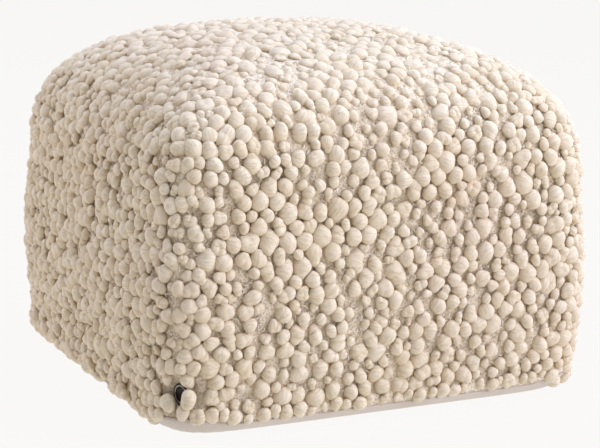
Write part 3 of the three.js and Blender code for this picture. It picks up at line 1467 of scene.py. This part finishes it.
    def _formed(self) -> dict[str, Array]:
        """Forms every bobble.

        Returns:
            Points and their values, by name, one row a bobble.
        """
        rng = np.random.default_rng(self.seed)
        places, ball = self.places, self._ball
        count = len(places.point)
        shape, fold = self._shaped(rng, count)
        on_top = eased(places.outward[:, 2], *self.top_facing)
        radius = places.radius * (self.plumpness + self.top_spread * on_top)
        high = rng.uniform(*self.heights, count) * (1 - self.top_flatness * on_top)
        stretch = 1 + self.column_stretch * (1 - on_top)
        shape[..., 2] *= high[:, None]
        shape[..., 1] *= stretch[:, None]
        shape[..., 0] /= stretch[:, None]
        shape[..., :2] *= (1 - self.root_taper * eased(ball[:, 2], 0.0, -1.0))[:, None]
        tip = self.height_share * places.radius * (1 - self.top_flatness * on_top)
        tip = tip + rng.normal(0, self.height_stray, count)
        drop = np.clip(self.ground_depth - tip, -self.least_gap, self.ground_depth) - places.lift
        centre = places.point - places.outward * (radius * high + drop)[:, None]
        points = np.einsum("bvk,bkx->bvx", shape, self._frames(rng)) * radius[:, None, None]
        points, pressed = self._pressed(points + centre[:, None, :], centre, places.radius)
        points[..., 2] = np.maximum(points[..., 2], self.least_gap)
        size = radius[:, None]
        lie = rng.normal(0, self.fibre_turn, (count, 1))
        across = ball[:, 0] * np.cos(lie) + ball[:, 1] * np.sin(lie)
        down = ball[:, 1] * np.cos(lie) - ball[:, 0] * np.sin(lie)
        round_it = np.arctan2(ball[:, 2] + self.fibre_pole, down) * size
        seeds = np.broadcast_to(rng.uniform(0, self.fibre_seeds, (count, 1)), round_it.shape)
        fibre = np.stack([round_it, across * size, seeds], -1)
        tone = np.broadcast_to(rng.random((count, 1)), round_it.shape)
        # Painted shade: the lower half of each bobble, and where it touches a neighbour, is marked for
        # the wool to darken
        root = eased(ball[:, 2], *self.root_zone)[None, :] + self.contact_tint * pressed
        return {"points": points, "fibre": fibre, "fold": fold, "tone": tone, "root": root}

    def build(self) -> list[bpy.types.Object]:
        """Makes the bobbles, one piece for each side and two for the top.

        Returns:
            The pieces.
        """
        formed = self._formed()
        material = self.wool.material("roving_wool")
        panel, back = self.places.panel, self.places.point[:, 1]
        top = panel == Panel.TOP.number
        groups = {"bobbles_top_near": top & (back < 0), "bobbles_top_far": top & (back >= 0)}
        for side in list(Panel)[1:]:
            groups["bobbles_" + side.name.lower()] = panel == side.number
        pieces = []
        for name, chosen in groups.items():
            picked = {key: rows[chosen] for key, rows in formed.items()}
            pieces.append(self._piece(name, picked, material))
        return pieces

    def _piece(
        self, name: str, formed: Mapping[str, Array], material: bpy.types.Material
    ) -> bpy.types.Object:
        """Joins a group of bobbles in one mesh.

        Args:
            name: The piece's name.
            formed: Points and values of the group.
            material: The wool.

        Returns:
            The piece.
        """
        count, size = formed["points"].shape[:2]
        start = (np.arange(count) * size)[:, None, None]
        faces = [(faces[None] + start).reshape(-1, faces.shape[1]) for faces in self._faces]
        rows = {key: values.reshape(-1, *values.shape[2:]) for key, values in formed.items()}
        piece = made_piece(name, rows.pop("points"), faces, rows, material)
        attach(piece, BODY)
        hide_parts("wool_cover")
        return piece


@dataclass
class WoolGround:
    """The filled cover under the bobbles: the ground cloth over its crowned filling."""

    form: Form
    finish: CurledWool
    badge_middle: Array
    cells: int = 34
    rings: int = 44
    depth: float = 8.2 * MM
    top_rise: float = 3.5 * MM
    top_facing: tuple[float, float] = (0.35, 0.85)
    seam_depth: float = -2.5 * MM
    seam_width: float = 9 * MM
    seam_fade: float = 20 * MM
    badge_dent: float = 7.3 * MM
    dent_zone: tuple[float, float] = (26 * MM, 15 * MM)
    edge_lap: float = 1 * MM

    def shell(self) -> tuple[Shell, Array]:
        """Lays the ground under the tips, raised along the seams and sunk behind the badge.

        Returns:
            The skin over the tips, and the ground's points under it.
        """
        shell = Shell(self.form, self.cells, self.rings)
        last = self.form.edge_run
        x, y = np.abs(shell.points[:, 0]), np.abs(shell.points[:, 1])
        rim = np.minimum(self.form.rim_run(x, y), last)
        low = self.form.near_rim(shell.runs, rim)
        depth = self.depth - self.top_rise * eased(shell.normals[:, 2], *self.top_facing)
        depth = depth * (1 - low) + shell.rim_depth * low
        from_seam = np.abs(x - y) / math.sqrt(2)
        start, end = self.form.top_run - self.seam_fade, self.form.top_run + self.seam_fade
        on_side = eased(shell.runs, start, end)
        seam = np.exp(-((from_seam / self.seam_width) ** 2)) * on_side * (1 - low)
        depth = depth + self.seam_depth * seam + self.form.slack(shell.points) * (1 - low)
        from_badge = np.linalg.norm(shell.points - self.badge_middle, axis=1)
        depth = depth + self.badge_dent * eased(from_badge, *self.dent_zone)
        depth = np.where(shell.runs > last + self.edge_lap, 0.0, depth)
        return shell, shell.points - shell.normals * depth[:, None]

    def build(self) -> bpy.types.Object:
        """Makes the ground.

        Returns:
            The piece.
        """
        shell, points = self.shell()
        material = self.finish.material("curled_wool")
        piece = made_piece("wool_ground", points, [shell.quads, shell.fan], {}, material)
        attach(piece, BODY)
        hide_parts("wool_cover")
        return piece


@dataclass
class GroundCurls:
    """Loose curls of the ground yarn, which stand up where the bobbles leave the widest gaps.

    The lifts are in millimetres, and the sizes, slip and tubes are shares.
    """

    ground: WoolGround
    places: Places
    yarn: CurlYarn
    badge_clearance: float = 18 * MM
    hem_clearance: float = 16 * MM
    top_share: float = 0.35
    top_slope: float = 0.6
    count: int = 5000
    tries: int = 22000
    steps: int = 6
    sides: int = 3
    bend_radius: float = 2.2 * MM
    thickness: float = 1.1 * MM
    leans: tuple[float, float] = (0.25, 1.0)
    sizes: tuple[float, float] = (0.6, 1.35)
    sweeps: tuple[float, float] = (3.4, 5.2)
    lifts: tuple[float, float] = (-0.2, 1.4)
    slip: float = 0.6
    tubes: tuple[float, float] = (0.75, 1.25)
    seed: int = 31

    def _sites(self, rng: np.random.Generator) -> tuple[Array, Array]:
        """Chooses gaps between the bobbles.

        Args:
            rng: The source of chance.

        Returns:
            Points on the ground, and the outward directions there.
        """
        shell, points = self.ground.shell()
        middle = points[shell.quads].mean(1)
        rim = shell.form.rim_run(middle[:, 0], middle[:, 1])
        free = shell.runs[shell.quads[:, 2]] < rim - self.hem_clearance
        free &= np.linalg.norm(middle - self.ground.badge_middle, axis=1) > self.badge_clearance
        on_cover = shell.quads[free]
        corners = points[on_cover]
        crossed = np.cross(corners[:, 2] - corners[:, 0], corners[:, 3] - corners[:, 1])
        on_top = shell.normals[on_cover[:, 0], 2] > self.top_slope
        area = np.linalg.norm(crossed, axis=1) * np.where(on_top, self.top_share, 1.0)
        chosen = rng.choice(len(on_cover), self.tries, p=area / area.sum())
        s, t = rng.random((2, self.tries, 1))
        picked = corners[chosen]
        site = (picked[:, 0] * (1 - s) + picked[:, 1] * s) * (1 - t)
        site += (picked[:, 3] * (1 - s) + picked[:, 2] * s) * t
        outward = shell.normals[on_cover[chosen, 0]]
        near = search_tree(self.places.point - self.places.outward * self.ground.depth)
        gap = np.empty(self.tries)
        for n, place in enumerate(site):
            _, m, distance = near.find(place)
            gap[n] = distance / self.places.radius[m]
        best = np.argsort(-gap)[: self.count]
        return site[best], outward[best]

    def _rings(self, rng: np.random.Generator) -> Array:
        """Bends the yarn in loops.

        Args:
            rng: The source of chance.

        Returns:
            Rings of points along each curl.
        """
        site, outward = self._sites(rng)
        count = len(site)
        first = unit(np.cross(outward, rng.normal(size=(count, 3))))
        lean = rng.uniform(*self.leans, (count, 1))
        aside = np.cross(outward, first) * (1 - lean) * rng.choice([-1, 1], (count, 1))
        second = unit(outward * lean + aside)
        axis = unit(np.cross(first, second))[:, None]
        radius = self.bend_radius * rng.uniform(*self.sizes, (count, 1, 1))
        sweep = rng.uniform(*self.sweeps, (count, 1))
        along = np.linspace(0, 1, self.steps + 1)[None]
        angle = (along - 0.5) * sweep + math.pi / 2
        arm = np.cos(angle)[..., None] * first[:, None] + np.sin(angle)[..., None] * second[:, None]
        lift = outward[:, None] * rng.uniform(*self.lifts, (count, 1, 1)) * MM
        spine = site[:, None] + lift + arm * radius
        spine = spine + np.linspace(-1, 1, self.steps + 1)[None, :, None] * axis * radius * self.slip
        tube = self.thickness / 2 * rng.uniform(*self.tubes, (count, 1, 1))
        around = np.linspace(0, 2 * math.pi, self.sides, endpoint=False)
        return np.stack([spine + tube * (math.cos(a) * arm + math.sin(a) * axis) for a in around], 2)

    def build(self) -> bpy.types.Object:
        """Makes the curls.

        Returns:
            The piece.
        """
        rng = np.random.default_rng(self.seed)
        points = self._rings(rng).reshape(-1, 3)
        size = (self.steps + 1) * self.sides
        count = len(points) // size
        start = (np.arange(count) * size)[:, None, None]
        quads = (ring_quads(self.steps + 1, self.sides)[None] + start).reshape(-1, 4)
        ends = np.array([[2, 1, 0], [size - 3, size - 2, size - 1]])
        ends = (ends[None] + start).reshape(-1, 3)
        tone = np.repeat(rng.random(count), size)
        material = self.yarn.material("curl_yarn")
        piece = made_piece("ground_curls", points, [quads, ends], {"tone": tone}, material)
        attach(piece, BODY)
        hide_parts("wool_cover")
        return piece


@dataclass
class BaseCloth:
    """The canvas under the pouf, its rim turned up round the lower edge and a little puckered."""

    form: Form
    finish: PlainCanvas
    thickness: float = 2.2 * MM
    around: int = 288
    flat_rings: int = 5
    rim_steps: int = 9
    rim_thinning: float = 0.7
    pucker: float = 0.45 * MM
    pucker_pitch: float = 11 * MM
    pucker_waves: tuple[float, ...] = (1.0, 1.7, 3.1)
    pucker_angles: tuple[float, float] = (0.2, 0.7)
    pucker_corner: tuple[float, float] = (0.55, 0.9)
    least_pucker: float = 0.35
    seed: int = 41

    def _directions(self) -> tuple[Array, Array]:
        """Spaces directions evenly on the square of the plan.

        Returns:
            Directions across and back.
        """
        quarter = self.around // 4
        along = np.linspace(-1, 1, quarter, endpoint=False)
        one = np.ones(quarter)
        return np.concatenate([along, one, -along, -one]), np.concatenate([-one, along, one, -along])

    def _ring(self, reach: Array | float, z: Array | float) -> Array:
        """Places one ring of points round the plan.

        Args:
            reach: How far from the middle each lies, on a side.
            z: How high each lies.

        Returns:
            The points.
        """
        dx, dy = self._directions()
        length = plan_length(dx, dy, self.form.edge_power)
        return np.stack([dx / length * reach, dy / length * reach, z + 0 * dx], -1)

    def _puckers(self) -> Array:
        """Draws the uneven puckers round the rim.

        Returns:
            How far each point is puckered, about -1 to 1.
        """
        rng = np.random.default_rng(self.seed)
        phases = rng.uniform(0, 2 * math.pi, len(self.pucker_waves))
        round_run = 2 * math.pi * np.linspace(0, 8 * self.form.half, self.around, endpoint=False)
        pitches = [self.pucker_pitch * wave for wave in self.pucker_waves]
        waves = sum(np.sin(round_run / pitch + phase) for pitch, phase in zip(pitches, phases))
        most = self.least_pucker + eased(to_corner(*self._directions()), *self.pucker_corner)
        return most * waves / len(phases)

    def _face(self, depth: float) -> tuple[Array, Array]:
        """Lays one face of the cloth, from its middle out to the rim's edge.

        Args:
            depth: How far it lies inside the cloth's outer face.

        Returns:
            The rings of points, and the same points on the flat cut cloth.
        """
        form = self.form
        flat_reach = form.half - form.foot_radius
        rings, flat = [], []
        for n in range(1, self.flat_rings):
            reach = flat_reach * (n / self.flat_rings)
            rings.append(self._ring(reach, depth))
            flat.append(self._ring(reach, 0.0))
        rim, puckers = form.rim(*self._directions()), self._puckers()
        for n in range(self.rim_steps + 1):
            share = n / self.rim_steps
            angle = rim * share
            inset = self.pucker * eased(angle, *self.pucker_angles) * puckers
            radius = form.foot_radius - depth * (1 - self.rim_thinning * share) + inset
            z = form.foot_radius - radius * np.cos(angle)
            rings.append(self._ring(flat_reach + radius * np.sin(angle), z))
            flat.append(self._ring(flat_reach + form.foot_radius * angle, 0.0))
        return np.array(rings), np.array(flat)

    def build(self) -> bpy.types.Object:
        """Makes the cloth.

        Returns:
            The piece.
        """
        under, flat = self._face(0.0)
        over, _ = self._face(self.thickness)
        rings = np.concatenate([under, over[::-1]])
        cloth = np.concatenate([flat, flat[::-1]])
        points = np.concatenate([rings.reshape(-1, 3), [(0, 0, 0)], [(0, 0, self.thickness)]])
        cloth = np.concatenate([cloth.reshape(-1, 3), np.zeros((2, 3))])
        faces = closed_rings(len(rings), self.around)
        material = self.finish.material("canvas")
        piece = made_piece("base_cloth_canvas", points, faces, {"cloth": cloth}, material)
        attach(piece, BODY)
        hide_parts("base_cloth")
        return piece


@dataclass(frozen=True)
class Neighbour:
    """A bobble beside the badge: its middle and radius, and how far it is turned from front to left."""

    centre: tuple[float, float, float]
    radius: float
    turn: float
    panel: Panel


@dataclass
class Badge:
    """A small lacquered disc with a pale ring, and the bobbles that stand round it and partly hide it.

    The neighbours' turns are in degrees.
    """

    lacquer: BadgeLacquer
    neighbours: tuple[Neighbour, ...] = (
        Neighbour((-0.2200, -0.2364, 0.0440), 8.5 * MM, 18.0, Panel.FRONT),
        Neighbour((-0.2182, -0.2304, 0.0616), 7.2 * MM, 22.0, Panel.FRONT),
        Neighbour((-0.2316, -0.2182, 0.0365), 8.6 * MM, 66.0, Panel.LEFT),
        Neighbour((-0.2309, -0.2139, 0.0604), 6.4 * MM, 70.0, Panel.LEFT),
        Neighbour((-0.2225, -0.2302, 0.0290), 7.0 * MM, 40.0, Panel.FRONT),
    )
    radius: float = 11 * MM
    thickness: float = 1.8 * MM
    turn: float = math.radians(74)
    ring_middle: float = 8.6 * MM
    ring_width: float = 0.9 * MM
    ring_lap: float = 0.1 * MM
    ring_share: float = 0.55
    soft_edge: float = 0.35 * MM
    groove: float = 0.25 * MM
    room: float = 1 * MM
    hidden_share: float = 0.8
    crowding: float = 0.85
    segments: int = 72

    @property
    def place(self) -> Matrix:
        """Where the disc stands.

        Returns:
            Its middle, with its own Z axis outward and Y axis up.
        """
        low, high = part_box("badge")
        outward = Vector((-math.sin(self.turn), -math.cos(self.turn), 0))
        up = Vector((0, 0, 1))
        axes = Matrix((up.cross(outward), up, outward)).transposed()
        return Matrix.Translation((low + high) / 2) @ axes.to_4x4()

    def beside(self) -> Places:
        """Places the bobbles that stand close round the disc and partly hide it.

        Returns:
            Their places.
        """
        centre = np.array([b.centre for b in self.neighbours])
        radius = np.array([b.radius for b in self.neighbours])
        turn = np.radians([b.turn for b in self.neighbours])
        outward = np.stack([-np.sin(turn), -np.cos(turn), 0 * turn], -1)
        weft = np.stack([np.cos(turn), -np.sin(turn), 0 * turn], -1)
        panel = np.array([b.panel.number for b in self.neighbours])
        point = centre + outward * radius[:, None]
        return Places(point, outward, weft, radius, panel, 0 * radius, np.ones(len(radius), bool))

    def parted(self, places: Places) -> Places:
        """Takes away the bobbles in the disc's way, and adds those that stand round it.

        Args:
            places: The bobbles.

        Returns:
            The bobbles that stay, with the disc's neighbours.
        """
        inverse = np.array(self.place.inverted())
        centre = places.point - places.outward * places.radius[:, None]
        local = centre @ inverse[:3, :3].T + inverse[:3, 3]
        aside = np.hypot(local[:, 0], local[:, 1])
        hit = aside < self.radius * self.hidden_share + self.room
        hit &= np.abs(local[:, 2]) < places.radius + self.room
        added = self.beside()
        for middle, radius in zip(added.point - added.outward * added.radius[:, None], added.radius):
            distance = np.linalg.norm(centre - middle, axis=1)
            hit |= distance < self.crowding * (places.radius + radius)
        kept = places.only(~hit)
        pairs = [(getattr(kept, part.name), getattr(added, part.name)) for part in fields(Places)]
        return Places(*(np.concatenate(pair) for pair in pairs))

    def _profile(self) -> list[tuple[float, float]]:
        """Draws the disc's section, from the middle of its back round to the middle of its face.

        Returns:
            Each point's distance from the middle, and its height.
        """
        low, high = -self.thickness / 2, self.thickness / 2
        r, soft, groove = self.radius, self.soft_edge, self.groove
        bevel = 0.3 * soft
        inner, outer = self.ring_middle - self.ring_width / 2, self.ring_middle + self.ring_width / 2
        return [
            (0.0, low),
            (r - soft, low),
            (r - bevel, low + bevel),
            (r, low + soft),
            (r, high - soft),
            (r - bevel, high - bevel),
            (r - soft, high),
            (outer + self.ring_lap, high),
            (outer, high - groove * 0.3),
            (inner, high - groove * 0.3),
            (inner - self.ring_lap, high - groove),
            (inner * 0.5, high - groove * 0.8),
            (0.0, high - groove * 0.7),
        ]

    def build(self) -> bpy.types.Object:
        """Makes the disc.

        Returns:
            The piece.
        """
        (_, back), *section, (_, face) = self._profile()
        turns = np.linspace(0, 2 * math.pi, self.segments, endpoint=False)
        rings = [np.stack([r * np.cos(turns), r * np.sin(turns), z + 0 * turns], -1) for r, z in section]
        points = np.concatenate([*rings, [(0, 0, back)], [(0, 0, face)]])
        reach = np.hypot(points[:, 0], points[:, 1])
        ring = (np.abs(reach - self.ring_middle) < self.ring_width * self.ring_share) & (points[:, 2] > 0)
        faces = closed_rings(len(rings), self.segments)
        material = self.lacquer.material("badge_lacquer")
        disc = made_piece("badge_disc", points, faces, {"ring": ring.astype(float)}, material)
        disc.data.transform(self.place)
        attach(disc, BODY)
        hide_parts("badge")
        return disc


@dataclass(frozen=True)
class Softbox:
    """A soft square lamp: the way to it from the pouf, in degrees, its side, power and distance."""

    name: str
    bearing: float
    height: float
    side: float
    power: float
    colour: tuple[float, float, float]
    distance: float = 3.0


@dataclass
class Studio:
    """The pale floor, the soft light and the camera."""

    focal_length: float = 103.5
    sensor: float = 36.0
    camera_place: tuple[float, float, float] = (-0.8195, -1.7148, 0.5378)
    yaw: float = 0.451
    pitch: float = 0.1985
    roll: float = 0.0157
    clip_end: float = 100.0
    floor_half: float = 30.0
    floor_cells: int = 12
    world_tone: Colour = linear(249, 248, 246)
    world_strength: float = 0.0
    aim_height: float = 0.2
    sweep: StudioSweep = field(default_factory=StudioSweep)
    lamps: tuple[Softbox, ...] = (
        Softbox("top_light", 0, 88, 3.4, 57, colour=(0.87, 1.0, 1.24)),
        Softbox("right_light", 80, 42, 3.4, 66, colour=(0.92, 1.0, 1.29)),
        Softbox("front_light", 40, 42, 3.2, 37, colour=(0.99, 1.0, 1.14)),
        Softbox("low_front_light", 35, 12, 2.2, 33, colour=(1.03, 1.0, 1.15)),
        Softbox("low_back_light", -130, 20, 2.4, 37, colour=(1.09, 1.0, 1.10)),
        Softbox("back_light", -150, 50, 2.6, 5, colour=(0.98, 1.0, 1.03)),
        Softbox("left_light", -35, 45, 2.6, 7, colour=(1.14, 1.0, 0.87)),
    )

    def build(self) -> None:
        """Makes the floor, the lights and the camera."""
        self._floor()
        self._world()
        for lamp in self.lamps:
            self._hang(lamp)
        self._camera()
        view = bpy.context.scene.view_settings
        view.view_transform = "Standard"
        view.look = "None"

    def _floor(self) -> None:
        """Makes the floor."""
        cells = self.floor_cells
        line = np.linspace(-self.floor_half, self.floor_half, cells + 1)
        x, y = np.meshgrid(line, line, indexing="ij")
        points = np.stack([x.ravel(), y.ravel(), np.zeros(x.size)], -1)
        i, j = np.meshgrid(np.arange(cells), np.arange(cells), indexing="ij")
        corner = (i * (cells + 1) + j).ravel()
        quads = np.stack([corner, corner + cells + 1, corner + cells + 2, corner + 1], -1)
        floor = made_piece("floor", points, [quads], {}, self.sweep.material("studio_sweep"))

    def _world(self) -> None:
        """Makes the world, dark because the lamps and the floor's glow give all the light."""
        world = bpy.data.worlds.new("studio")
        world.use_nodes = True
        sky = world.node_tree.nodes["Background"]
        sky.inputs["Color"].default_value = self.world_tone
        sky.inputs["Strength"].default_value = self.world_strength
        bpy.context.scene.world = world

    def _hang(self, lamp: Softbox) -> None:
        """Hangs a lamp so that it faces the pouf.

        Args:
            lamp: The lamp.
        """
        data = bpy.data.lights.new(lamp.name, "AREA")
        data.size = lamp.side
        data.energy = lamp.power
        data.color = lamp.colour
        bearing, height = math.radians(lamp.bearing), math.radians(lamp.height)
        level = math.cos(height)
        way = Vector((math.sin(bearing) * level, -math.cos(bearing) * level, math.sin(height)))
        hung = bpy.data.objects.new(lamp.name, data)
        hung.location = way * lamp.distance + Vector((0, 0, self.aim_height))
        hung.rotation_euler = (-way).to_track_quat("-Z", "Y").to_euler()
        bpy.context.scene.collection.objects.link(hung)

    def _camera(self) -> None:
        """Places the camera at the view of the picture."""
        data = bpy.data.cameras.new("camera")
        data.lens = self.focal_length
        data.sensor_width = self.sensor
        data.clip_end = self.clip_end
        ahead = math.cos(self.pitch)
        forward = Vector((math.sin(self.yaw) * ahead, math.cos(self.yaw) * ahead, -math.sin(self.pitch)))
        level = Vector((math.cos(self.yaw), -math.sin(self.yaw), 0))
        above = level.cross(forward)
        right = level * math.cos(self.roll) + above * math.sin(self.roll)
        up = above * math.cos(self.roll) - level * math.sin(self.roll)
        axes = Matrix((right, up, -forward)).transposed()
        camera = bpy.data.objects.new("camera", data)
        camera.matrix_world = Matrix.Translation(self.camera_place) @ axes.to_4x4()
        bpy.context.scene.collection.objects.link(camera)
        bpy.context.scene.camera = camera


def main() -> None:
    """Builds the pouf and its studio in order."""
    Studio().build()
    form = Form()
    badge = Badge(BadgeLacquer())
    places = badge.parted(BobbleWeave(form).places())
    log.info("bobbles: %d", len(places.point))
    ground = WoolGround(form, CurledWool(), np.array(badge.place.translation))
    ground.build()
    BaseCloth(form, PlainCanvas()).build()
    badge.build()
    Bobbles(places, RovingWool(), ground.depth).build()
    GroundCurls(ground, places, CurlYarn()).build()


if __name__ == "__main__":
    logging.basicConfig(level=logging.INFO, format="%(message)s")
    main()
